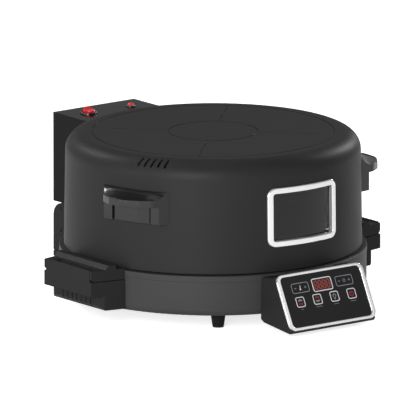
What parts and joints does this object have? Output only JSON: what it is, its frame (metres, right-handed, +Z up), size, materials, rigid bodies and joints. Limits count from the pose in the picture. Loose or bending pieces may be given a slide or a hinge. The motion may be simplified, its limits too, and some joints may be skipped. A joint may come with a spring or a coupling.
{
  "type": "electric pizza maker",
  "caption": "Countertop pizza maker: round hinged lid with a framed window, side handles and a rear switch box over a base with a turning stone, sloped control panel and side grips.",
  "frame": {"origin": "on the plane of the feet, under the middle of the bounding box, which is also the axis of the round lid and stone", "axes": "+Z up, -Y to the front with the window and the control panel, +X to the right as seen from the front"},
  "size_m": [0.466, 0.5, 0.2171],
  "materials": {
    "lid_paint": "semi-gloss dark grey enamel on steel sheet",
    "base_paint": "satin dark grey enamel on steel sheet",
    "reflector_aluminium": "satin rolled sheet",
    "element_sheath": "oxidised dark sheath",
    "bracket_steel": "zinc plated",
    "screw_steel": "zinc plated",
    "black_screw_steel": "black oxide",
    "motor_steel": "zinc plated",
    "chrome_trim": "polished plated trim",
    "gloss_black_plastic": "polished black, heat resistant",
    "satin_black_plastic": "satin moulded black",
    "matte_black_plastic": "matte moulded black",
    "fascia_plastic": "glossy printed fascia",
    "display_plastic": "dark red filter",
    "board_laminate": "green circuit board",
    "red_plastic": "glossy translucent red",
    "red_lens": "glossy translucent red",
    "window_glass": "tinted heat-resistant glass",
    "lamp_glass": "clear",
    "white_ceramic": "white glazed ceramic",
    "stone_ceramic": "matte fired cordierite",
    "cast_aluminium": "die cast",
    "bush_brass": "sintered bronze",
    "pad_rubber": "matte"
  },
  "bodies": {
    "base": {"base_pan": "base_paint", "base_ring": "base_paint", "base_reflector": "reflector_aluminium", "bottom_cover": "base_paint", "foot_front_left": "matte_black_plastic", "foot_front_right": "matte_black_plastic", "foot_rear_left": "matte_black_plastic", "foot_rear_right": "matte_black_plastic", "foot_pads": "pad_rubber", "foot_screws": "screw_steel", "lower_element": "element_sheath", "lower_element_posts": "bracket_steel", "drive_motor": "motor_steel", "motor_bracket": "bracket_steel", "shaft_bush": "bush_brass", "temperature_probe": "screw_steel", "grip_left": "satin_black_plastic", "grip_right": "satin_black_plastic", "grip_cover_left": "satin_black_plastic", "grip_cover_right": "satin_black_plastic", "pan_screws": "screw_steel", "control_housing": "satin_black_plastic", "control_bezel": "chrome_trim", "control_fascia": "fascia_plastic", "display_module": "display_plastic", "control_board": "board_laminate", "cover_screws": "screw_steel", "rear_base": "satin_black_plastic", "rear_housing": "satin_black_plastic", "hinge_bracket": "bracket_steel", "hinge_pin": "screw_steel", "housing_screws": "black_screw_steel", "power_inlet": "matte_black_plastic", "inlet_screws": "screw_steel"},
    "lid": {"lid_shell": "lid_paint", "lid_liner": "reflector_aluminium", "upper_element": "element_sheath", "upper_element_clips": "bracket_steel", "window_bezel": "chrome_trim", "window_frame": "matte_black_plastic", "window_glass": "window_glass", "handle_left": "gloss_black_plastic", "handle_right": "gloss_black_plastic", "handle_screws": "screw_steel", "hinge_box": "gloss_black_plastic", "hinge_plate": "bracket_steel", "hinge_arm_left": "bracket_steel", "hinge_arm_right": "bracket_steel", "hinge_spacers": "bracket_steel", "hinge_screws": "screw_steel", "switch_bezel": "chrome_trim", "pilot_bezel": "chrome_trim", "pilot_lens": "red_lens", "oven_lamp_lens": "lamp_glass", "oven_lamp_holder": "white_ceramic", "oven_lamp_bulb": "lamp_glass"},
    "rocker": {"power_rocker": "red_plastic"},
    "turntable": {"pizza_stone": "stone_ceramic", "stone_carrier": "cast_aluminium", "drive_shaft": "screw_steel"}
  },
  "joints": [
    {"name": "lid_hinge", "type": "hinge", "parent": "base", "child": "lid", "pos_m": [0, 0.232, 0.0697], "axis": [-1, 0, 0], "range_deg": [0, 90]},
    {"name": "turntable_spin", "type": "hinge", "parent": "base", "child": "turntable", "pos_m": [0, 0, 0.05], "axis": [0, 0, 1], "continuous": true},
    {"name": "power_rocker_tilt", "type": "hinge", "parent": "lid", "child": "rocker", "pos_m": [-0.034, 0.216, 0.2066], "axis": [-1, 0, 0], "range_deg": [0, 24]}
  ]
}
